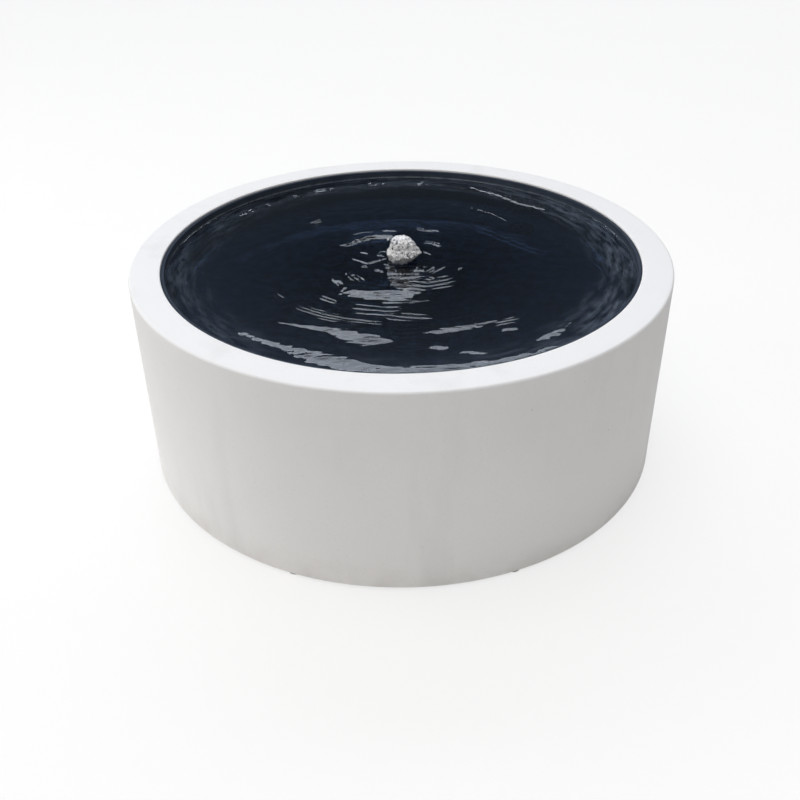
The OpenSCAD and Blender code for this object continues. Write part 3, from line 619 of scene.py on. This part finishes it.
# Crests on the water that are steep enough to mirror the bright sky. Each has its steepest slope
# in degrees, how ragged its edges are in mm, and knots along it: direction from the front in
# degrees, inner radius and outer radius in mm
CRESTS = [
    (6.5, 3.5, [(-41, 289, 291), (-33, 275, 281), (-24, 262, 275), (-18, 260, 289), (-11, 267, 298),
                (-7, 271, 293), (-2, 285, 287)]),
    (6.5, 4.5, [(-46, 350, 351), (-41, 341, 350), (-35, 340, 350), (-31, 334, 346), (-24, 333, 356),
                (-21, 337, 364), (-18, 338, 362), (-14, 338, 368), (-10, 346, 370), (-6, 355, 374),
                (0, 358, 379), (10, 359, 384), (21, 364, 385), (30, 369, 382), (37, 373, 377)]),
    (6.5, 3.0, [(6, 264, 266), (12, 254, 266), (20, 255, 269), (28, 268, 270)]),
    (6.0, 2.5, [(7, 306, 308), (10, 302, 314), (13, 310, 312)]),
    (6.0, 2.5, [(14, 329, 331), (17, 328, 337), (21, 341, 343)]),
    (6.5, 2.5, [(34, 345, 347), (38, 341, 355), (41, 342, 355), (48, 343, 345)]),
    (8.0, 3.5, [(-42, 134, 136), (-36, 135, 155), (-27, 135, 162), (-21, 133, 156), (-14, 118, 151),
                (-6, 113, 160), (4, 116, 150), (11, 105, 133), (22, 93, 112), (31, 84, 96),
                (37, 79, 81)]),
    (12.0, 2.5, [(-178, 81, 90), (-166, 92, 106), (-156, 95, 111), (-146, 100, 114),
                 (-128, 106, 113), (-118, 115, 120)]),
    (11.0, 1.2, [(-178, 116, 119), (-169, 122, 128), (-162, 122, 124), (-152, 130, 133),
                 (-141, 136, 138)]),
    (8.8, 0.8, [(118, 237, 239), (130, 252, 255), (140, 260, 263), (150, 263, 265),
                (172, 266, 268)]),
    (12.0, 3.5, [(127, 346, 349), (136, 332, 339), (144, 340, 346), (154, 354, 359),
                 (164, 388, 391)]),
]

# Packets of short ripples: direction from the front and spread in degrees, radius and spread in mm,
# wavelength in mm, steepest slope in degrees, and how far the lines lean
PACKETS = [
    (-26, 15, 234, 11, 7.6, 13.0, 0.04),
    (-12, 11, 184, 20, 14.5, 13.0, 0.12),
    (3, 8, 208, 11, 12.0, 11.0, -0.25),
    (10, 6, 160, 9, 7.5, 10.0, -0.1),
    (33, 13, 112, 18, 12.5, 14.0, -0.28),
    (55, 12, 66, 13, 6.8, 15.0, 0.15),
    (70, 4, 112, 9, 7.5, 15.0, 0.15),
    (-50, 10, 103, 8, 9.0, 13.0, -0.3),
    (158, 9, 132, 7, 7.5, 15.0, 0.0),
    (134, 14, 84, 8, 8.0, 15.0, 0.3),
    (-137, 3, 222, 13, 8.0, 14.0, 0.0),
    (-58, 12, 136, 7, 8.0, 13.0, -0.3),
    (-55, 3, 235, 8, 8.0, 12.0, 0.0),
    (-40, 7, 188, 9, 8.0, 12.0, 0.0),
    (35, 4, 277, 8, 8.0, 12.0, -0.3),
]

# Straight or bent streaks: steepest slope in degrees, how ragged in mm, and knots: distance to the
# right, near edge and far edge, in mm from the middle
STREAKS = [
    (11.0, 1.0, [(-86, 5, 9), (-70, -10, -5), (-56, -20, -14), (-41, -10, -5), (-29, -3, 1),
                 (-22, 8, 12)]),
    (11.0, 0.8, [(-72, 27, 32), (-53, 19, 24)]),
    (11.0, 0.8, [(-44, 14, 19), (-27, 12, 17)]),
    (11.0, 0.6, [(-43, 19, 22), (-36, 28, 32), (-28, 31, 34), (-22, 26, 29)]),
    (10.0, 0.8, [(-96, -57, -52), (-85, -60, -56)]),
    (10.0, 0.8, [(-84, -60, -55), (-72, -68, -63)]),
    (10.0, 0.8, [(-81, -70, -66), (-60, -85, -80)]),
    (10.0, 1.4, [(-116, -80, -70), (-106, -88, -78), (-94, -103, -88)]),
    (11.0, 0.8, [(33, 120, 125), (69, 116, 121)]),
    (11.0, 1.0, [(55, 58, 61), (70, 46, 51)]),
    (11.0, 0.8, [(37, 30, 34), (54, 12, 17)]),
    (10.0, 1.2, [(-68, -31, -26), (-56, -31, -26)]),
    (10.0, 1.2, [(-47, -46, -41), (-29, -54, -48)]),
    (12.0, 1.4, [(-30, -25, -20), (0, -26, -19), (33, -23, -17)]),
    (12.0, 1.4, [(-27, -38, -32), (0, -38, -31), (32, -38, -33)]),
    (12.0, 1.4, [(-14, -49, -43), (10, -50, -42), (41, -52, -46)]),
    (12.0, 1.6, [(-24, -61, -55), (0, -63, -54), (40, -63, -57)]),
    (11.0, 1.8, [(-24, -78, -72), (0, -81, -69), (20, -77, -66), (42, -71, -66)]),
    (11.0, 1.4, [(-24, -94, -90), (5, -96, -88), (32, -91, -86)]),
    (11.0, 1.2, [(-22, -106, -102), (25, -105, -101)]),
    (12.0, 0.8, [(-67, -30, -26), (-55, -31, -27)]),
    (12.0, 0.8, [(-45, -38, -34), (-29, -53, -49)]),
    (12.0, 0.8, [(35, -41, -37), (46, -27, -23)]),
    (12.0, 0.8, [(47, -45, -41), (60, -31, -27)]),
    (12.0, 0.8, [(58, -52, -48), (76, -33, -29)]),
    (12.0, 0.8, [(93, -48, -43), (105, -36, -31)]),
    (9.0, 1.2, [(90, -247, -242), (118, -236, -231), (145, -226, -222)]),
    (9.0, 1.5, [(146, -258, -253), (158, -255, -247), (174, -252, -248)]),
]
# Part of a face's half-width, from its middle, that mirrors the sky
BRIGHT_SHARE = 0.8
# Length over which a crest's or a streak's ends fade
FADE = 5 * MM
# Least share of a slope that counts as facing the camera, where a crest or packet runs sideways
LEAST_FACING = 0.4
# Waveform with narrow steep faces and long gentle backs: shares of its first three harmonics
SHARP = (0.62, 0.27, 0.08)
# First seeds of the random edges. Each crest, streak or packet adds its own number
CREST_SEEDS = (60, 160)
STREAK_SEEDS = (300, 340)
PACKET_SEED = 80


# Height across one sloping face: steepest at its middle, level at its edges
def face_height(slope, away, half_width):
    width = half_width / BRIGHT_SHARE
    return math.tan(math.radians(slope)) * away * np.exp(-((away / width) ** 2) / 2)


def faded(height, ends):
    return height * np.clip(ends / FADE, 0, 1)


# Faces that follow an arc round the middle. Behind the middle they slope the other way
def crest_heights(x, y, radius, bearing):
    total = np.zeros_like(x)
    for number, (slope, ragged, knots) in enumerate(CRESTS):
        ways, inner, outer = np.array(knots, float).T
        middle = (ways[0] + ways[-1]) / 2
        way = (bearing - middle + 180) % 360 - 180 + middle
        long_waves = waves(x, 0.35 * y, 15 * MM, 9, CREST_SEEDS[0] + number)
        cross_waves = waves(0.25 * x, y, 10 * MM, 10, CREST_SEEDS[1] + number)
        edge = ragged * MM * (0.5 * long_waves + 0.5 * cross_waves)
        away = radius + edge - np.interp(way, ways, (inner + outer) / 2) * MM
        half_width = np.interp(way, ways, (outer - inner) / 2) * MM
        facing = -np.cos(np.radians(way))
        toward = np.sign(facing) / np.maximum(np.abs(facing), LEAST_FACING)
        ends = np.radians(np.minimum(way - ways[0], ways[-1] - way)) * radius
        total += faded(toward * face_height(slope, away, half_width), ends)
    return total


# Faces that run from left to right
def streak_heights(x, y):
    total = np.zeros_like(x)
    for number, (slope, ragged, knots) in enumerate(STREAKS):
        across, near, far = np.array(knots, float).T * MM
        long_waves = waves(x, 0.4 * y, 9 * MM, 9, STREAK_SEEDS[0] + number)
        cross_waves = waves(0.25 * x, y, 8 * MM, 9, STREAK_SEEDS[1] + number)
        edge = ragged * MM * (0.5 * long_waves + 0.5 * cross_waves)
        away = y + edge - np.interp(x, across, (near + far) / 2)
        half_width = np.interp(x, across, (far - near) / 2)
        ends = np.minimum(x - across[0], across[-1] - x)
        total += faded(face_height(slope, away, half_width), ends)
    return total


# Short trains of ripples that fade on all sides
def packet_heights(x, y, radius, bearing, wander):
    total = np.zeros_like(x)
    for number, (direction, spread, r, r_spread, pitch, slope, lean) in enumerate(PACKETS):
        turn = (bearing - direction + 180) % 360 - 180
        near = np.exp(-((turn / spread) ** 4) / 2 - ((radius / MM - r) / r_spread) ** 4 / 2)
        gaps = waves(0.5 * x, 0.8 * y, 30 * MM, 9, PACKET_SEED + number)
        broken = np.clip(0.9 + 0.5 * gaps, 0.1, 1.1)
        length = math.hypot(1, lean)
        along = (radius + lean * np.radians(turn) * r * MM + 0.2 * wander) / length
        way = math.radians(direction)
        facing = (-math.cos(way) + lean * math.sin(way)) / length
        seen = max(abs(facing), LEAST_FACING)
        height = math.tan(math.radians(slope)) * pitch * MM / (2 * math.pi * seen)
        phase = 2 * math.pi * along / (pitch * MM) * math.copysign(1, facing)
        wave = sum(share / n * np.sin(n * phase) for n, share in enumerate(SHARP, 1))
        total += height * near * broken * wave
    return total


# How far the foam's own rings and chop reach
STIRRED_R = 130 * MM
RING_PITCH = 14 * MM
# Rough water along the back of the wall: its middle, its half-width and where it begins
ROUGH_R = 362 * MM
ROUGH_W = 16 * MM
ROUGH_FROM_Y = 120 * MM
# Water drawn up at the wall: its height and how quickly it falls off
CLIMB = 1.3 * MM
CLIMB_W = 1.6 * MM


# Height of the water over its level: swell, rings, chop, the edge at the wall, and the bright faces
def water_height(x, y):
    radius = np.hypot(x, y)
    bearing = np.degrees(np.arctan2(x, -y))
    wander = 5 * MM * waves(x, y, 160 * MM, 8, 21) + 2 * MM * waves(x, y, 50 * MM, 8, 22)
    swell = 0.09 * MM * waves(x, y, 130 * MM, 9, 25) + 0.03 * MM * waves(x, y, 50 * MM, 14, 24)
    stirred = np.exp(-((radius / STIRRED_R) ** 2))
    rings = 0.12 * MM * stirred * np.cos(2 * math.pi * (radius + 0.5 * wander) / RING_PITCH)
    chop = 0.07 * MM * stirred * waves(x, 0.8 * y, 10 * MM, 18, 26)
    patchy = np.clip(0.6 + waves(x, y, 90 * MM, 9, 27), 0, 1)
    rough = np.exp(-(((radius - ROUGH_R) / ROUGH_W) ** 2)) * patchy
    rough *= np.clip(y / ROUGH_FROM_Y, 0, 1)
    chop += 0.26 * MM * rough * waves(0.14 * np.radians(bearing), radius, 7 * MM, 16, 28)
    wall = CLIMB * np.exp(-(BASIN_R - radius) / CLIMB_W)
    steep = crest_heights(x, y, radius, bearing) + packet_heights(x, y, radius, bearing, wander)
    return swell + rings + chop + wall + steep + streak_heights(x, y)


# Rows and steps of the water's top: fine rows out to a radius, coarser ones beyond it, and rows
# close together at the wall, by their distance from it in mm
WATER_STEPS = 640
FINE_R = 300 * MM
FINE_ROWS = 282
COARSE_ROWS = 58
WALL_ROWS = (8, 5, 3.4, 2.3, 1.5, 0.9, 0.4, 0)


# Body of the water: rippled top, sides just inside the basin, a hole round the nozzle
def build_water():
    hole_r = SLEEVE_R + WATER_FIT
    wall_r = BASIN_R - WATER_FIT
    low_z = FLOOR_Z + WATER_FIT
    by_wall = [wall_r - d * MM for d in WALL_ROWS]
    radii = [hole_r + (FINE_R - hole_r) * i / FINE_ROWS for i in range(FINE_ROWS)]
    radii += [FINE_R + (by_wall[0] - FINE_R) * i / COARSE_ROWS for i in range(COARSE_ROWS)]
    radii += by_wall
    cove = arc((wall_r - COVE_R, low_z + COVE_R), COVE_R, -90, 0, 6)
    outline = [(r, WATER_Z) for r in radii] + cove[::-1] + [(hole_r, low_z)]
    top_rows = len(radii)

    def ripple(radius, height, turn):
        x, y = radius * np.cos(turn), radius * np.sin(turn)
        height = height.copy()
        height[:top_rows] += water_height(x[:top_rows], y[:top_rows])
        return radius, height

    vertices, faces = turned(outline, WATER_STEPS, ripple)
    water = make_object("water", vertices, faces, WATER)
    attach(water, "table")


# Joins balls into one lumpy skin
def blob(name, balls, voxel, material):
    solid = bmesh.new()
    bmesh.ops.create_icosphere(solid, subdivisions=3, radius=1.0)
    points = np.array([v.co[:] for v in solid.verts])
    sides = np.array([[v.index for v in f.verts] for f in solid.faces])
    solid.free()
    vertices = np.concatenate([points * radius + np.array(centre) for centre, radius in balls])
    faces = np.concatenate([sides + len(points) * i for i in range(len(balls))])
    mesh = bpy.data.meshes.new(name)
    mesh.from_pydata(vertices.tolist(), [], faces.tolist())
    mesh.materials.append(material)
    made = bpy.data.objects.new(name, mesh)
    bpy.context.scene.collection.objects.link(made)
    skin = made.modifiers.new("skin", "REMESH")
    skin.mode = "VOXEL"
    skin.voxel_size = voxel
    skin.use_smooth_shade = True
    ease = made.modifiers.new("ease", "SMOOTH")
    ease.factor = 0.4
    ease.iterations = 1
    apply_modifiers(made)
    return made


# Bubbling crown over the nozzle. Its left and right sides each have knots: height over the water
# and distance from the nozzle's axis, both in mm
CROWN_LEFT = [(-12, 18.8), (2, 18.8), (7, 20), (12.5, 23.8), (23.5, 17.5), (34, 16), (38, 13), (40, 8)]
CROWN_RIGHT = [(-12, 19), (0, 19.5), (5, 22.5), (14, 33), (25, 25.5), (32, 20.5), (38, 17), (40, 11)]
CROWN_FACETS = 6
CROWN_BALLS = 620
CROWN_LOW = -2 * MM
CROWN_HIGH = CROWN_RIGHT[-1][0] * MM
# Depth of the crown's top, where the balls are strewn inward too
CROWN_CAP = 3 * MM
# Turn from each ball to the next, in radians, which spaces them evenly
GOLDEN_TURN = 2.39996
# Balls that fill the crown: height over the water, distance to the right, and radius, in mm
CORE_BALLS = [(2, 0, 18), (12, 3, 19), (20, 3, 18), (26, 3, 13)]
# The flying drop on the left: the same
DROP = (36, -21, 1.9)
FOAM_VOXEL = 0.8 * MM
FOAM_ROUGH = 0.5 * MM


# Distance of the crown's side from the axis, at a height and a turn from the right
def crown_radius(z, turn):
    left = np.interp(z, *np.array(CROWN_LEFT).T * MM)
    right = np.interp(z, *np.array(CROWN_RIGHT).T * MM)
    share = 0.5 + 0.5 * math.cos(turn)
    side = 2 * math.pi / CROWN_FACETS
    facet = math.cos(side / 2) / math.cos(turn % side - side / 2)
    return (left + (right - left) * share) * (0.55 + 0.5 * facet)


def build_foam():
    random = np.random.default_rng(7)
    balls = []
    for i in range(CROWN_BALLS):
        z = CROWN_LOW + (CROWN_HIGH - CROWN_LOW) * (i + 0.5) / CROWN_BALLS
        turn = i * GOLDEN_TURN
        ball = random.uniform(1.3, 3.2) * MM
        r = max(0.0, crown_radius(z, turn) - ball + random.uniform(-2.4, 1.6) * MM)
        if z > CROWN_HIGH - CROWN_CAP:
            r *= math.sqrt(random.uniform(0, 1))
        centre = Vector((r * math.cos(turn), r * math.sin(turn), WATER_Z + z - 0.5 * ball))
        balls.append((centre, ball))
    for z, x, ball in CORE_BALLS + [DROP]:
        balls.append((Vector((x * MM, 0, WATER_Z + z * MM)), ball * MM))
    crown = blob("foam", balls, FOAM_VOXEL, FOAM)
    roughen(crown, FOAM_ROUGH)
    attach(crown, "riser")


# Small dents and bumps moved into a skin's own vertices
def roughen(thing, depth):
    mesh = thing.data
    count = len(mesh.vertices)
    place = np.empty(count * 3)
    normal = np.empty(count * 3)
    mesh.vertices.foreach_get("co", place)
    mesh.vertices.foreach_get("normal", normal)
    place = place.reshape(-1, 3)
    normal = normal.reshape(-1, 3)
    x, y, z = place.T
    coarse = waves(x + 0.7 * z, y - 0.7 * z, 7 * MM, 12, 31)
    fine = waves(x - z, y + z, 3.4 * MM, 14, 32)
    place += normal * (depth * (coarse + 0.6 * fine))[:, None]
    mesh.vertices.foreach_set("co", place.ravel())
    mesh.update()
    mesh.shade_smooth()


FLOOR_HALF = 30.0
# Share of plain white in the floor as it is seen; the rest takes the light and the shadow
FLOOR_WHITE = 0.7


def build_floor():
    m = material_nodes("floor")
    clouds = m.spread(m.noise(2.5, 4, 0.6), 0.3, 0.7)
    base = m.mix(clouds, (0.93, 0.92, 0.905, 1), (0.95, 0.94, 0.925, 1))
    ray = m.add("LightPath").outputs
    mirrored = m.math("MAXIMUM", ray["Is Glossy Ray"], ray["Is Transmission Ray"])
    seen = m.times(m.math("MAXIMUM", ray["Is Camera Ray"], mirrored), FLOOR_WHITE)
    paint = m.finish(
        Base_Color=m.mix(seen, base, (0, 0, 0, 1)),
        Roughness=0.9,
        Emission_Color=(1, 1, 1, 1),
        Emission_Strength=seen,
    )
    half = FLOOR_HALF
    corners = [(-half, -half, 0), (half, -half, 0), (half, half, 0), (-half, half, 0)]
    floor = make_object("floor", corners, [(0, 1, 2, 3)], paint)


# Camera at the photograph's place: distance from the middle of the rim's plane, and angles in degrees
CAMERA_DISTANCE = 1.6336
CAMERA_RISE = 24.089
CAMERA_TURN = (56.9607, 0.6075, -0.2211)
LENS = 42.9055
SENSOR = 36


def build_camera():
    data = bpy.data.cameras.new("camera")
    data.lens = LENS
    data.sensor_width = SENSOR
    camera = bpy.data.objects.new("camera", data)
    rise = math.radians(CAMERA_RISE)
    back, up = CAMERA_DISTANCE * math.cos(rise), CAMERA_DISTANCE * math.sin(rise)
    camera.location = (0, -back, TABLE_H + up)
    camera.rotation_euler = [math.radians(a) for a in CAMERA_TURN]
    bpy.context.scene.collection.objects.link(camera)
    bpy.context.scene.camera = camera


LOW_SKY = (0.55, 0.533, 0.512)
DARK_BAND = (0.062, 0.082, 0.110)
HIGH_SKY = (0.43, 0.42, 0.415)
BRIGHT_SKY = (4.33, 4.72, 5.28)
ZENITH = (0.99, 0.98, 0.975)
BLACK = (0, 0, 0)
WHITE = (1, 1, 1)
# Soft surroundings, as elevations in degrees and colours: pale low down, a dark blue band above it
# and a pale sky
FRONT_SKY = [
    (0, LOW_SKY),
    (15.5, LOW_SKY),
    (17, DARK_BAND),
    (33, DARK_BAND),
    (34, HIGH_SKY),
    (58, HIGH_SKY),
    (64, ZENITH),
    (90, ZENITH),
]
# At the back the dark band reaches lower, and over it is the bright bluish patch of sky that the
# ripples mirror
BACK_SKY = [
    (0, LOW_SKY),
    (3, LOW_SKY),
    (5, DARK_BAND),
    (33, DARK_BAND),
    (34, BRIGHT_SKY),
    (56, BRIGHT_SKY),
    (70, ZENITH),
    (90, ZENITH),
]
# Where the front's sky turns into the back's, by how far a direction points back
BACK_FROM, BACK_TO = 0.50, 0.62
# How much darker the right is than the middle, and the left lighter
SIDE_SHARE = 0.5
# Share of the back's sky that lights matt surfaces
BRIGHT_SHARE_MATT = 0.68


def build_world():
    world = bpy.data.worlds.new("studio")
    bpy.context.scene.world = world
    m = Nodes(world)
    way = m.axes(m.direction)

    def sky_ramp(stops):
        levels = [(math.sin(math.radians(elevation)), colour) for elevation, colour in stops]
        return m.ramp(way["Z"], levels)

    front = sky_ramp(FRONT_SKY)
    back = sky_ramp(BACK_SKY)
    ray = m.add("LightPath").outputs
    toward_back = m.ramp(way["Y"], [(BACK_FROM, BLACK), (BACK_TO, WHITE)])
    share = m.math("MAXIMUM", ray["Is Glossy Ray"], BRIGHT_SHARE_MATT)
    sky = m.tree.nodes["Background"]
    m.feed(sky.inputs["Color"], m.mix(m.times(toward_back, share), front, back))
    m.feed(sky.inputs["Strength"], m.math("SUBTRACT", 1.0, m.times(way["X"], SIDE_SHARE)))
    white = m.add("Background", {"Color": (*WHITE, 1), "Strength": 1.0})
    seen = m.add(
        "MixShader", {"Fac": ray["Is Camera Ray"], 1: sky.outputs[0], 2: white.outputs[0]}
    )
    m.feed(m.tree.nodes["World Output"].inputs["Surface"], seen.outputs[0])


# Two soft lamps: one overhead, and one low on the left that shades the round side. Each has its
# name, place, size in metres and power in watts
LAMPS = [
    ("overhead", (-0.3, -0.5, 3.4), 2.5, 26),
    ("left", (-3.3, 0.6, 1.3), 1.8, 24),
]
LAMP_COLOUR = (1.0, 0.98, 0.955)


def build_lamps():
    for name, place, size, power in LAMPS:
        data = bpy.data.lights.new(name, "AREA")
        data.energy = power
        data.shape = "DISK"
        data.size = size
        data.color = LAMP_COLOUR
        lamp = bpy.data.objects.new(name, data)
        lamp.location = place
        aim = Vector((0, 0, TABLE_H / 2)) - lamp.location
        lamp.rotation_euler = aim.to_track_quat("-Z", "Y").to_euler()
        bpy.context.scene.collection.objects.link(lamp)


bpy.context.scene.view_settings.view_transform = "Standard"
build_camera()
build_world()
build_lamps()
build_floor()
dress_nodes()
build_shell()
build_basin()
build_water()
build_foam()
